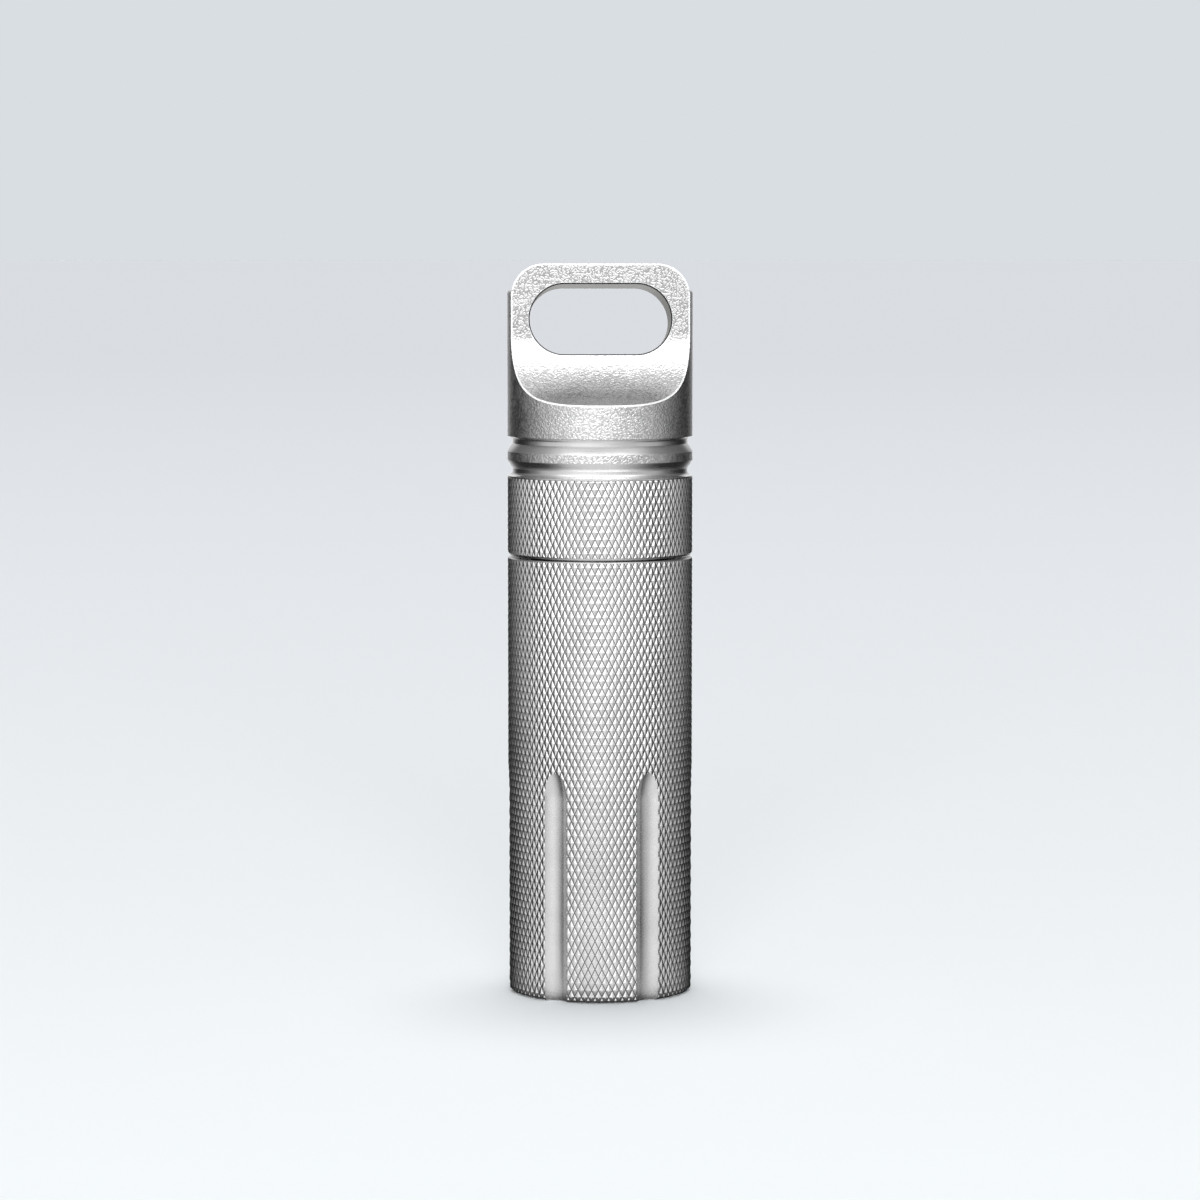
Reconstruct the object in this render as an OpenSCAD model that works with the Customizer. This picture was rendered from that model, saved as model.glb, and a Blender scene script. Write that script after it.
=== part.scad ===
// Waterproof capsule: a knurled aluminium tube with a screw cap that ends in a flat loop.
// The origin is the centre of the base, and +Z runs up the capsule to the loop.
// The loop's flat faces look along -Y and +Y.
// The screw thread is drawn as plain cylinders on its pitch line, and the knurl as its outer skin.

/* [Overall] */
// Diameter of the aluminium bar that the body and the cap are turned from
bar_d = 25; // [24:0.5:30]
// Height of the body from its base to the shoulder under the cap
body_h = 59.2; // [45:0.1:80]
// Height of the cap from its lower edge to the top of its loop
cap_h = 39.2; // [37:0.1:45]
// Gap that is left between the shoulder and the closed cap
joint_gap = 0.3; // [0.1:0.05:0.6]
// Chamfer round the base
base_chamfer = 0.5; // [0.2:0.1:1.2]
// Bevel round the shoulder of the body
shoulder_bevel = 0.25; // [0.1:0.05:0.5]
// Inward size of the chamfer round the lower edge of the cap
skirt_chamfer = 0.25; // [0.1:0.05:0.5]
// Height of the chamfer round the lower edge of the cap
skirt_chamfer_h = 0.4; // [0.2:0.1:1]

/* [Flutes of the body] */
// Number of flutes milled up the lower half of the body
flute_count = 6; // [3:1:8]
// Width of a flute at the surface
flute_w = 3.5; // [2.5:0.1:4.2]
// Depth of a flute below the surface
flute_depth = 1; // [0.8:0.1:1.4]
// Height above the base of the tip of a flute
flute_top = 31; // [20:0.5:40]
// Height over which a flute runs out to its tip
flute_runout = 3.7; // [2.5:0.1:6]

/* [Storage bore] */
// Diameter of the bore that holds the contents
bore_d = 17; // [14:0.5:18]
// Thickness of the floor under the bore
floor_t = 3; // [1.5:0.5:8]
// Radius of the corner between the floor and the bore
floor_fillet = 1; // [0.5:0.25:3]

/* [Neck] */
// Height of the neck above the shoulder
neck_h = 9.8; // [9.2:0.1:12]
// Wall between the bore and the floor of the ring groove
ring_wall = 0.9; // [0.7:0.1:1.4]
// Height of the ring groove, which starts at the shoulder
ring_groove_h = 2; // [1.9:0.1:2.4]
// Height of the plain land between the ring groove and the thread
guide_h = 1.2; // [0.8:0.1:1.6]
// Wall between the bore and the pitch line of the thread
thread_wall = 1.5; // [1.2:0.1:1.8]
// Height of the relief groove where the thread ends above the land
relief_h = 0.8; // [0.5:0.1:1.2]
// Depth of that relief groove below the pitch line
relief_depth = 0.5; // [0.3:0.1:0.6]
// Chamfer round the rim of the neck
neck_chamfer = 0.5; // [0.2:0.1:0.8]

/* [Seals] */
// Thickness of the rubber ring on the neck
o_ring_t = 1.5; // [1.2:0.1:1.7]
// Clearance between the ring and the floor of its groove
ring_seat_clear = 0.05; // [0.02:0.01:0.1]
// Clearance between the ring and the mouth of the cap
mouth_clear = 0.1; // [0.05:0.01:0.2]
// Thickness of the flat gasket in the roof of the cap
gasket_t = 1.5; // [1:0.1:2]
// Clearance between the gasket and the rim of the neck
rim_clear = 0.1; // [0.05:0.01:0.2]
// Clearance between the gasket and its pocket
gasket_clear = 0.05; // [0.02:0.01:0.15]

/* [Inside of the cap] */
// Clearance between the land of the neck and the mouth of the cap
guide_clear = 0.35; // [0.2:0.05:0.5]
// Height of clearance over the land, up to the thread of the cap
land_head = 0.5; // [0.3:0.1:0.8]
// Clearance between the two pitch cylinders of the thread
thread_clear = 0.08; // [0.03:0.01:0.1]
// Depth of the gasket pocket outside the pitch line of the thread
pocket_depth = 0.57; // [0.4:0.01:0.8]
// Height of the thread relief under the gasket
cap_relief_h = 0.8; // [0.5:0.1:1.2]
// Height of the recess in the roof above the gasket
recess_h = 5.3; // [2:0.1:6]
// Radius of the corner between the roof and the recess
recess_fillet = 1; // [0.5:0.25:2]

/* [Grooves of the cap] */
// Height of the knurled band at the foot of the cap
band_h = 10.7; // [9:0.1:12]
// Depth of the two grooves above the band
groove_depth = 0.7; // [0.3:0.1:0.8]
// Height of the flat floor of a groove
groove_floor_h = 0.35; // [0.2:0.05:0.6]
// Height of the steep flank on a groove's outer side
groove_steep_h = 0.65; // [0.4:0.05:0.8]
// Height of the bevel between a groove and the ring that parts the two
groove_bevel_h = 0.95; // [0.6:0.05:1.1]
// Height of the ring that parts the two grooves
ring_h = 1.45; // [0.8:0.05:1.8]

/* [Loop of the cap] */
// Thickness of the flat loop
loop_t = 7; // [5:0.5:9]
// Radius of the scoop milled from each side
scoop_r = 9.5; // [8:0.5:12]
// Height from the top of the loop down to the lowest line of a scoop
scoop_drop = 18.7; // [17.5:0.1:19.5]
// Width of the slot through the loop
slot_w = 19; // [12:0.5:20]
// Height of the slot through the loop
slot_h = 9.4; // [6:0.2:10]
// Height of metal above the slot
slot_roof = 2.7; // [2:0.1:4]
// Chamfer round both mouths of the slot
slot_chamfer = 0.3; // [0.1:0.1:0.5]
// Radius of the two top corners of the loop
corner_r = 4.4; // [2:0.2:6]
// Height from the top of the loop down to the ledge at each side
ledge_drop = 3.5; // [2.5:0.1:5]
// Radius of the rounded edge of that ledge
ledge_r = 0.5; // [0.2:0.1:0.8]

/* [Hidden] */
$fn = 96;
// Length by which a cutter passes the face that it cuts through
over = 1;

bar_r = bar_d / 2;
bore_r = bore_d / 2;

// The neck, from the bore outwards
groove_floor_r = bore_r + ring_wall;
o_ring_mid_r = groove_floor_r + ring_seat_clear + o_ring_t / 2;
mouth_r = o_ring_mid_r + o_ring_t / 2 + mouth_clear;
guide_r = mouth_r - guide_clear;
neck_thread_r = bore_r + thread_wall;
cap_thread_r = neck_thread_r + thread_clear;
pocket_r = neck_thread_r + pocket_depth;

// Heights, from the shoulder upwards
neck_top = body_h + neck_h;
guide_bottom = body_h + ring_groove_h;
guide_top = guide_bottom + guide_h;
relief_top = guide_top + relief_h;
cap_bottom = body_h + joint_gap;
cap_top = cap_bottom + cap_h;
mouth_top = guide_top + land_head;
gasket_bottom = neck_top + rim_clear;
pocket_bottom = gasket_bottom - cap_relief_h;
pocket_top = gasket_bottom + gasket_t + gasket_clear;
recess_top = pocket_top + recess_h;

// The flutes: one round profile, swept straight and then out on the arc of the milling wheel
flute_chord_dip = bar_r - sqrt(pow(bar_r, 2) - pow(flute_w / 2, 2));
flute_dip = flute_depth - flute_chord_dip;
flute_cut_r = micron((pow(flute_w / 2, 2) + pow(flute_dip, 2)) / (2 * flute_dip));
flute_wheel_r = micron((pow(flute_runout, 2) + pow(flute_depth, 2)) / (2 * flute_depth));
flute_floor_r = bar_r - flute_depth;
flute_straight = flute_top - flute_runout;

// The loop
loop_face = loop_t / 2;
loop_half_w = sqrt(pow(bar_r, 2) - pow(loop_face, 2));
scoop_y = loop_face + scoop_r;
scoop_floor = cap_top - scoop_drop;
scoop_z = scoop_floor + scoop_r;
slot_r = slot_h / 2;
slot_z = cap_top - slot_roof - slot_r;
slot_run = slot_w / 2 - slot_r;
ledge_z = cap_top - ledge_drop;

// A size rounded to a thousandth of a millimetre, so that the two parts of a cutter meet exactly
function micron(size) = round(size * 1000) / 1000;

// A quarter circle of points about [x, y], from one angle to another
function arc(x, y, r, from, to, steps = 12) =
    [for (i = [0 : steps]) let (a = from + (to - from) * i / steps) [x + r * cos(a), y + r * sin(a)]];

// The round cutter that leaves one flute, at the +X side of the body
module flute_cutter() {
    translate([flute_floor_r + flute_cut_r, 0, -over])
        cylinder(h = flute_straight + over, r = flute_cut_r);
    translate([flute_floor_r + flute_wheel_r, 0, flute_straight])
        rotate([90, 0, 180])
            rotate_extrude(angle = 90)
                translate([flute_wheel_r - flute_cut_r, 0])
                    circle(r = flute_cut_r);
}

// Half section of the body, with the bore, the ring groove and the neck
module body_section() {
    polygon(concat(
        [
            [0, 0],
            [bar_r - base_chamfer, 0],
            [bar_r, base_chamfer],
            [bar_r, body_h - shoulder_bevel],
            [bar_r - shoulder_bevel, body_h],
            [groove_floor_r, body_h],
            [groove_floor_r, guide_bottom],
            [guide_r, guide_bottom],
            [guide_r, guide_top],
            [neck_thread_r - relief_depth, guide_top],
            [neck_thread_r - relief_depth, relief_top],
            [neck_thread_r, relief_top + relief_depth],
            [neck_thread_r, neck_top - neck_chamfer],
            [neck_thread_r - neck_chamfer, neck_top],
            [bore_r, neck_top]
        ],
        arc(bore_r - floor_fillet, floor_t + floor_fillet, floor_fillet, 0, -90),
        [[0, floor_t]]
    ));
}

// One-piece tube: base, fluted lower half, knurled grip and threaded neck
module body() {
    color([0.74, 0.75, 0.76])
        difference() {
            rotate_extrude() body_section();
            for (i = [0 : flute_count - 1])
                rotate([0, 0, i * 360 / flute_count]) flute_cutter();
        }
}

// Rubber ring at the root of the neck
module neck_o_ring() {
    color([0.06, 0.06, 0.065])
        translate([0, 0, body_h + ring_groove_h / 2])
            rotate_extrude()
                translate([o_ring_mid_r, 0])
                    circle(d = o_ring_t);
}

// Outer edge of the cap from its lower edge to its top, with the two grooves
function cap_outline() =
    let (
        floor_r = bar_r - groove_depth,
        g1 = cap_bottom + band_h,
        g2 = g1 + groove_steep_h,
        g3 = g2 + groove_floor_h,
        g4 = g3 + groove_bevel_h,
        g5 = g4 + ring_h,
        g6 = g5 + groove_bevel_h,
        g7 = g6 + groove_floor_h,
        g8 = g7 + groove_steep_h
    )
    [
        [bar_r - skirt_chamfer, cap_bottom],
        [bar_r, cap_bottom + skirt_chamfer_h],
        [bar_r, g1],
        [floor_r, g2],
        [floor_r, g3],
        [bar_r, g4],
        [bar_r, g5],
        [floor_r, g6],
        [floor_r, g7],
        [bar_r, g8],
        [bar_r, cap_top]
    ];

// Half section of the cap, with its mouth, thread, gasket pocket and recess
module cap_section() {
    polygon(concat(
        cap_outline(),
        [[0, cap_top], [0, recess_top]],
        arc(bore_r - recess_fillet, recess_top - recess_fillet, recess_fillet, 90, 0),
        [
            [bore_r, pocket_top],
            [pocket_r, pocket_top],
            [pocket_r, pocket_bottom],
            [cap_thread_r, pocket_bottom - (pocket_r - cap_thread_r)],
            [cap_thread_r, mouth_top + (mouth_r - cap_thread_r)],
            [mouth_r, mouth_top],
            [mouth_r, cap_bottom]
        ]
    ));
}

// Milled scoop on the +Y side, which leaves one face of the loop
module scoop_cutter() {
    reach = 2 * bar_r;
    translate([-reach, 0, 0])
        rotate([90, 0, 90])
            linear_extrude(height = 2 * reach)
                union() {
                    translate([scoop_y, scoop_z]) circle(r = scoop_r);
                    translate([loop_face, scoop_z]) square([reach, cap_top]);
                    translate([scoop_y, scoop_floor]) square([reach, cap_top]);
                }
}

// Metal outside one rounded top corner of the loop, down to the ledge, on the +X side
module corner_cutter() {
    centre_x = loop_half_w - corner_r;
    centre_z = cap_top - corner_r;
    translate([0, bar_r, 0])
        rotate([90, 0, 0])
            linear_extrude(height = 2 * bar_r)
                difference() {
                    translate([centre_x, ledge_z]) square([bar_r, ledge_drop + over]);
                    translate([centre_x, centre_z]) circle(r = corner_r);
                    translate([0, centre_z - cap_top]) square([loop_half_w, cap_top]);
                }
}

// Turned radius that rounds the outer edge of both ledges
module ledge_rounding() {
    translate([0, 0, ledge_z - ledge_r])
        rotate_extrude()
            difference() {
                translate([bar_r - ledge_r, 0]) square([ledge_r + over, ledge_r]);
                translate([bar_r - ledge_r, 0]) circle(r = ledge_r);
            }
}

// Slot through the loop, with a chamfer at both mouths
module slot_cutter() {
    translate([0, 0, slot_z])
        rotate([90, 0, 0]) {
            for (side = [-1, 1])
                translate([side * slot_run, 0, -bar_r]) cylinder(h = 2 * bar_r, r = slot_r);
            translate([-slot_run, -slot_r, -bar_r]) cube([2 * slot_run, slot_h, 2 * bar_r]);
            for (side = [-1, 1])
                rotate([0, side * 90 + 90, 0]) slot_mouth();
        }
}

// Chamfer round one mouth of the slot: a cone at each end and a wedge between them
module slot_mouth() {
    wide = slot_r + slot_chamfer + over;
    deep = slot_chamfer + over;
    translate([0, 0, loop_face - slot_chamfer]) {
        for (side = [-1, 1])
            translate([side * slot_run, 0, 0]) cylinder(h = deep, r1 = slot_r, r2 = wide);
        translate([-slot_run, 0, 0])
            rotate([90, 0, 90])
                linear_extrude(height = 2 * slot_run)
                    polygon([[-slot_r, 0], [slot_r, 0], [wide, deep], [-wide, deep]]);
    }
}

// One-piece cap: knurled skirt, two grooves, and the head milled down to a loop
module cap() {
    color([0.78, 0.79, 0.8])
        difference() {
            rotate_extrude() cap_section();
            for (turn = [0, 180])
                rotate([0, 0, turn]) {
                    scoop_cutter();
                    corner_cutter();
                }
            ledge_rounding();
            slot_cutter();
        }
}

// Flat silicone washer that the rim of the neck presses into the cap
module cap_gasket() {
    color([0.85, 0.85, 0.82])
        translate([0, 0, gasket_bottom])
            difference() {
                cylinder(h = gasket_t, r = pocket_r - gasket_clear);
                translate([0, 0, -over]) cylinder(h = gasket_t + 2 * over, r = bore_r);
            }
}

body();
neck_o_ring();
cap();
cap_gasket();
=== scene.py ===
# %% [markdown]
# # A waterproof capsule in knurled aluminium
# The real object is a small tube turned from a 25 mm aluminium bar, with a screw cap that ends in a flat
# loop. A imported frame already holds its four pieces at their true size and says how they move. This
# lesson models each piece again with its knurl, threads and small edges, and gives it a real finish.

import math
from collections import Counter

import bpy
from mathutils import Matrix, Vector


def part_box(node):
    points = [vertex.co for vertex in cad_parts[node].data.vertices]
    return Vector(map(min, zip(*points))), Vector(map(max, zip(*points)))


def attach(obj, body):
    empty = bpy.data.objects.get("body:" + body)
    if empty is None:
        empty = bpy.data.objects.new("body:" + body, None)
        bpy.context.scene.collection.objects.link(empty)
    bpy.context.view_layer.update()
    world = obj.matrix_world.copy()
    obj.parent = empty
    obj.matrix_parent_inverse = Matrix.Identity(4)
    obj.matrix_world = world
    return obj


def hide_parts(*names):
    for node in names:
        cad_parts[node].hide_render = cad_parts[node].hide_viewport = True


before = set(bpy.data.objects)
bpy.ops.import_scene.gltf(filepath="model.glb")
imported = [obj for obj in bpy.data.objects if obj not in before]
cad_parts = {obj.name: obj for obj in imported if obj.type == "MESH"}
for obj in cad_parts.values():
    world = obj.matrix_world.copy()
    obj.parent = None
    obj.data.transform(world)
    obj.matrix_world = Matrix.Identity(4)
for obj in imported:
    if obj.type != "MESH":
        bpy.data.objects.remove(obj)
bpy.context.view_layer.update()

# %% [markdown]
# ## Sizes
# The frame gives the large sizes: the bar's radius, the top of the neck and the two ends of the cap. The
# small ones, such as a chamfer, are named in the cells that use them, in millimetres turned into metres.
# Every place is worked out from these, so nothing drifts away from the frame.

# %% Read the large sizes from the frame
MM = 0.001
body_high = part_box("body")[1]
cap_low, cap_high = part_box("cap")
gasket_low, gasket_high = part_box("cap_gasket")
ring_low, ring_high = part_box("neck_o_ring")

bar_r = body_high.x
neck_top = body_high.z
cap_bottom = cap_low.z
cap_top = cap_high.z
shoulder = cap_bottom - 0.3 * MM
print(f"bar radius {bar_r / MM:.2f} mm, cap from {cap_bottom / MM:.2f} to {cap_top / MM:.2f} mm")

# %% [markdown]
# ## A short way to write shaders
# A material is a graph of nodes, and its maths is easier to read as a formula. The class `Signal` wraps a
# socket, so that `1 - mask` adds its Math node by itself. Every other node comes from one method of
# `Graph`, which takes the node's type, its settings and what goes into its sockets.


# %% Wrap a socket so that formulas make nodes
class Signal:
    """One output socket of a shader graph; sums and products of signals add their Math nodes."""

    def __init__(self, graph, socket):
        self.graph = graph
        self.socket = socket

    def maths(self, operation, *values):
        return self.graph.node("ShaderNodeMath", {"operation": operation}, dict(enumerate(values)))

    def __add__(self, other):
        return self.maths("ADD", self, other)

    def __sub__(self, other):
        return self.maths("SUBTRACT", self, other)

    def __mul__(self, other):
        return self.maths("MULTIPLY", self, other)

    def __truediv__(self, other):
        return self.maths("DIVIDE", self, other)

    def __pow__(self, other):
        return self.maths("POWER", self, other)

    def __rsub__(self, other):
        return self.maths("SUBTRACT", other, self)

    def __rtruediv__(self, other):
        return self.maths("DIVIDE", other, self)

    __radd__ = __add__
    __rmul__ = __mul__

    def rise(self, low, high):
        """0 below low, 1 above high, and a smooth rise between them."""
        settings = {"interpolation_type": "SMOOTHSTEP"}
        return self.graph.node("ShaderNodeMapRange", settings, {"Value": self, 1: low, 2: high})


class Graph:
    """The node graph of a material, of a lamp or of the world."""

    def __init__(self, tree):
        self.tree = tree

    def node(self, kind, settings=None, inputs=None, output=0):
        """Adds a node, applies its settings, fills its sockets and returns one output as a signal."""
        made = self.tree.nodes.new(kind)
        for name, value in (settings or {}).items():
            setattr(made, name, value)
        for name, value in (inputs or {}).items():
            self.feed(made.inputs[name], value)
        return Signal(self, made.outputs[output])

    def feed(self, socket, value):
        """Links a signal to a socket, or sets the socket to a plain value."""
        if isinstance(value, Signal):
            self.tree.links.new(value.socket, socket)
        else:
            socket.default_value = value

    def blend(self, share, first, second):
        """Mixes two colours by a share from 0 to 1."""
        settings = {"data_type": "RGBA"}
        return self.node("ShaderNodeMix", settings, {0: share, 6: first, 7: second}, output=2)

    def noise(self, place, scale, detail, roughness):
        """Plain noise whose grains are about 1 / scale metres apart."""
        inputs = {"Vector": place, "Scale": scale, "Detail": detail, "Roughness": roughness}
        return self.node("ShaderNodeTexNoise", None, inputs)


print("shader helpers ready")

# %% [markdown]
# ## Where a point lies on a turned part
# Every finish here follows the lathe: cut marks run round the axis, and a knurl is brighter on its crests
# than in its roots. So a finish needs a point's distance from the axis and its height. Both come from
# Object coordinates, which stay on the metal when the cap is unscrewed.


# %% Start a finish with its lathe coordinates
def new_finish(name):
    """A material, its graph, and the place of a point: as a vector and as x, y and z."""
    finish = bpy.data.materials.new(name)
    finish.use_nodes = True
    graph = Graph(finish.node_tree)
    place = graph.node("ShaderNodeTexCoord", output="Object")
    split = graph.tree.nodes.new("ShaderNodeSeparateXYZ")
    graph.feed(split.inputs[0], place)
    x, y, z = (Signal(graph, socket) for socket in split.outputs)
    return finish, graph, place, x, y, z


def start_finish(name, metallic):
    """A Principled material with the lathe's two coordinates, the radius and the height."""
    finish, graph, place, x, y, z = new_finish(name)
    shader = finish.node_tree.nodes["Principled BSDF"]
    shader.inputs["Metallic"].default_value = metallic
    return finish, graph, shader, place, (x * x + y * y) ** 0.5, z


def raise_surface(graph, shader, height, distance):
    """Feeds a height to the shader's normal through a Bump node."""
    inputs = {"Height": height, "Distance": distance, "Strength": 1.0}
    graph.feed(shader.inputs["Normal"], graph.node("ShaderNodeBump", None, inputs))


ALUMINIUM = (0.84, 0.84, 0.845, 1)
SHADED_ALUMINIUM = (0.76, 0.76, 0.765, 1)
EDGE_AND_HIGHLIGHT_ALUMINIUM = (0.97, 0.97, 0.975, 1)
OXIDE_AND_SHADE = (0.34, 0.34, 0.345, 1)
print("shades of the metal", ALUMINIUM[0], SHADED_ALUMINIUM[0], EDGE_AND_HIGHLIGHT_ALUMINIUM[0], OXIDE_AND_SHADE[0])

# %% [markdown]
# ## Bead-blasted aluminium
# The head, the loop and the flutes are blasted with glass beads and then anodised clear. Under a lens
# that is a field of shallow dents that run together into worm-like swirls. Contour lines of a slow noise
# give such swirls, and plain noise on top breaks them up.


# %% Blasted finish
PLAIN_METALS = (SHADED_ALUMINIUM, ALUMINIUM)
HIGHLIGHT_METALS = (ALUMINIUM, EDGE_AND_HIGHLIGHT_ALUMINIUM)
SWIRL_SCALE = 1950
SWIRLS = 3.5
DENT_SCALE = 3400
GRAIN_SCALE = 8000


def blasted_finish(name, dent_depth, pit_share, tone=1.0, metals=PLAIN_METALS, fade=None):
    """Short curled dents with oxidised pits; a tone under 1 adds even painted shade; both can fade in by
    height.
    """
    finish, graph, shader, place, radius, height = start_finish(name, 1.0)
    slow = graph.noise(place, SWIRL_SCALE, 1, 0.4)
    swirls = slow.maths("SINE", slow * (2 * math.pi * SWIRLS)) * 0.5 + 0.5
    dents = graph.noise(place, DENT_SCALE, 2, 0.6)
    grain = graph.noise(place, GRAIN_SCALE, 1, 0.5)
    clouds = graph.noise(place, 160, 3, 0.6)
    relief = swirls * 0.55 + dents * 0.32 + grain * 0.13
    metal = graph.blend(clouds.rise(0.3, 0.7), *metals)
    oxide_and_shade = pit_share * (1 - relief.rise(0.30, 0.62)) + (1 - tone)
    if fade:
        oxide_and_shade = oxide_and_shade * height.rise(*fade)
    graph.feed(shader.inputs["Base Color"], graph.blend(oxide_and_shade, metal, OXIDE_AND_SHADE))
    graph.feed(shader.inputs["Roughness"], 0.22 + 0.06 * clouds + 0.06 * grain)
    raise_surface(graph, shader, relief, dent_depth)
    return finish


blasted = blasted_finish("blasted_aluminium", 0.046 * MM, 0.42)
loop_fade = (cap_top - 11.2 * MM, cap_top - 9.8 * MM)
# Painted shade: the loop's flat faces are darkened evenly (tone 0.74, more pits) and the shade fades out
# downwards, towards the scoops.
loop_blasted_painted_shade = blasted_finish("blasted_loop_painted_shade", 0.034 * MM, 0.60, tone=0.74, fade=loop_fade)
# Painted highlight: the scoops, which face upwards, take brighter copies of the metal and fewer oxidised
# pits than the rest of the head.
scoop_blasted_painted_highlight = blasted_finish("blasted_scoop_painted_highlight", 0.055 * MM, 0.20, metals=HIGHLIGHT_METALS)
flute_blasted = blasted_finish("blasted_flute", 0.006 * MM, 0.04)
print("blasted finishes", blasted.name, loop_blasted_painted_shade.name, scoop_blasted_painted_highlight.name, flute_blasted.name)

# %% [markdown]
# ## Knurled aluminium
# The knurl is real geometry, so its finish only says how crest and root differ. The crests are rubbed
# bright by pockets and keys, while the roots are nearly black: a film of dust and painted shade. The
# distance from the axis tells the two apart for every diamond.

# %% Knurled finish
KNURL_DEPTH = 0.125 * MM
DUST_AND_SHADE_FROM = 0.98
DUST_AND_SHADE_TO = 0.75
ROOT_DUST_AND_SHADE = (0.06, 0.06, 0.06, 1)

knurled, graph, shader, place, radius, height = start_finish("knurled_aluminium", 1.0)
grain = graph.noise(place, 7000, 2, 0.55)
clouds = graph.noise(place, 140, 3, 0.6)
crest = radius.rise(bar_r - DUST_AND_SHADE_FROM * KNURL_DEPTH, bar_r - DUST_AND_SHADE_TO * KNURL_DEPTH)
metal = graph.blend(clouds.rise(0.3, 0.7), ALUMINIUM, EDGE_AND_HIGHLIGHT_ALUMINIUM)
# Dust and painted shade: the roots blend to a near-black grey.
graph.feed(shader.inputs["Base Color"], graph.blend(crest, ROOT_DUST_AND_SHADE, metal))
graph.feed(shader.inputs["Roughness"], 0.26 - 0.08 * crest + 0.06 * grain)
raise_surface(graph, shader, grain, 0.012 * MM)
print(f"knurled finish for grooves {KNURL_DEPTH / MM:.3f} mm deep")

# %% [markdown]
# ## Turned and chamfered aluminium
# A lathe tool leaves fine rings about a tenth of a millimetre apart. They run round the axis, so a wave
# over the height and the distance from the axis draws them on walls and end faces alike. Edges cut last,
# after the blasting, are bare and bright: they are the thin white line round the loop and the scoops. Their
# near-white, mostly diffuse finish is also a painted highlight, so the line stays white whatever the edge
# mirrors.


# %% Turned finishes
def turned_finish(name, ring_pitch, ring_depth, roughness, colour, metallic=1.0):
    """Fine rings round the axis, smeared a little by handling."""
    finish, graph, shader, place, radius, height = start_finish(name, metallic)
    along = (radius + height) * (2 * math.pi / ring_pitch)
    rings = along.maths("SINE", along)
    wander = graph.noise(place, 900, 3, 0.6)
    smear = graph.noise(place, 120, 2, 0.5)
    worn = tuple(0.9 * channel for channel in colour[:3]) + (1,)
    graph.feed(shader.inputs["Base Color"], graph.blend(smear.rise(0.3, 0.7), worn, colour))
    graph.feed(shader.inputs["Roughness"], roughness + 0.06 * wander)
    raise_surface(graph, shader, rings * 0.7 + wander * 0.3, ring_depth)
    return finish


turned = turned_finish("turned_aluminium", 0.12 * MM, 0.002 * MM, 0.24, SHADED_ALUMINIUM)
groove_turned = turned_finish("turned_groove", 0.09 * MM, 0.0012 * MM, 0.20, ALUMINIUM)
# Bare metal and painted highlight: the chamfers are near white and mostly diffuse, so they read as bright
# lines whatever they mirror.
bright_edge_and_highlight = turned_finish("bright_chamfer_and_highlight", 0.06 * MM, 0.0006 * MM, 0.20, EDGE_AND_HIGHLIGHT_ALUMINIUM, 0.2)
# Painted shade: the slot's inner wall is a dark grey, far darker than the aluminium round it.
slot_shade_grey = (0.33, 0.33, 0.31, 1)
# Painted shade: a near-black finish for the wider rail in the slot's mouth.
mouth_shade_grey = (0.12, 0.12, 0.115, 1)
slot_milled_painted_shade = turned_finish("milled_slot_painted_shade", 0.15 * MM, 0.002 * MM, 0.34, slot_shade_grey)
slot_mouth_shade = turned_finish("slot_mouth_painted_shade", 0.15 * MM, 0.002 * MM, 0.40, mouth_shade_grey)
for finish in (turned, groove_turned, bright_edge_and_highlight, slot_milled_painted_shade, slot_mouth_shade):
    print("turned finish", finish.name)

# %% [markdown]
# ## The two rubbers
# The ring on the neck is black nitrile rubber, satin from its mould with a bloom of grey dust. The gasket
# is milky silicone, lighter and smoother. Both are matt, so their look is mostly roughness.


# %% Rubber finishes
def rubber_finish(name, deep, dusty, roughness, pore_depth):
    """Satin rubber with pores from the mould and a bloom of dust."""
    finish, graph, shader, place, radius, height = start_finish(name, 0.0)
    pores = graph.noise(place, 6000, 3, 0.6)
    bloom = graph.noise(place, 500, 4, 0.6)
    graph.feed(shader.inputs["Base Color"], graph.blend(bloom.rise(0.4, 0.75), deep, dusty))
    graph.feed(shader.inputs["Roughness"], roughness + 0.15 * bloom)
    raise_surface(graph, shader, pores, pore_depth)
    shader.inputs["Specular IOR Level"].default_value = 0.45
    return finish


black = (0.012, 0.012, 0.013, 1)
dusty_black = (0.035, 0.035, 0.036, 1)
nitrile = rubber_finish("nitrile_rubber", black, dusty_black, 0.42, 0.006 * MM)
milky = (0.72, 0.71, 0.67, 1)
dusty_milky = (0.80, 0.79, 0.76, 1)
silicone = rubber_finish("milky_silicone", milky, dusty_milky, 0.34, 0.004 * MM)
print("rubber finishes", nitrile.name, silicone.name)

# %% [markdown]
# ## Working in edit mode from a script
# Blender's operators act on whatever is selected, so each step first selects exactly what it needs. After
# a step the size of the piece, its faces and its open edges are printed. A piece without open edges is
# closed, which the later cuts rely on.

# %% Helpers for picking, measuring and finishing
SEGMENTS = 256
MERGE = 0.5e-6


def pick(*pieces):
    """Selects these pieces alone; the last one becomes active."""
    bpy.ops.object.select_all(action="DESELECT")
    for piece in pieces:
        piece.select_set(True)
    bpy.context.view_layer.objects.active = pieces[-1]


def tell(piece):
    """Prints a piece's size in millimetres, its faces and its open edges."""
    sides = Counter(key for face in piece.data.polygons for key in face.edge_keys)
    loose = sum(count != 2 for count in sides.values())
    size = " x ".join(f"{length / MM:.2f}" for length in piece.dimensions)
    print(f"{piece.name}: {size} mm, {len(piece.data.polygons)} faces, {loose} open edges")


def give(piece, *finishes):
    """Replaces a piece's finishes."""
    piece.data.materials.clear()
    for finish in finishes:
        piece.data.materials.append(finish)
    return piece


def put(name, data):
    """Puts a mesh, a camera or a lamp into the scene."""
    piece = bpy.data.objects.new(name, data)
    bpy.context.scene.collection.objects.link(piece)
    return piece


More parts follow.
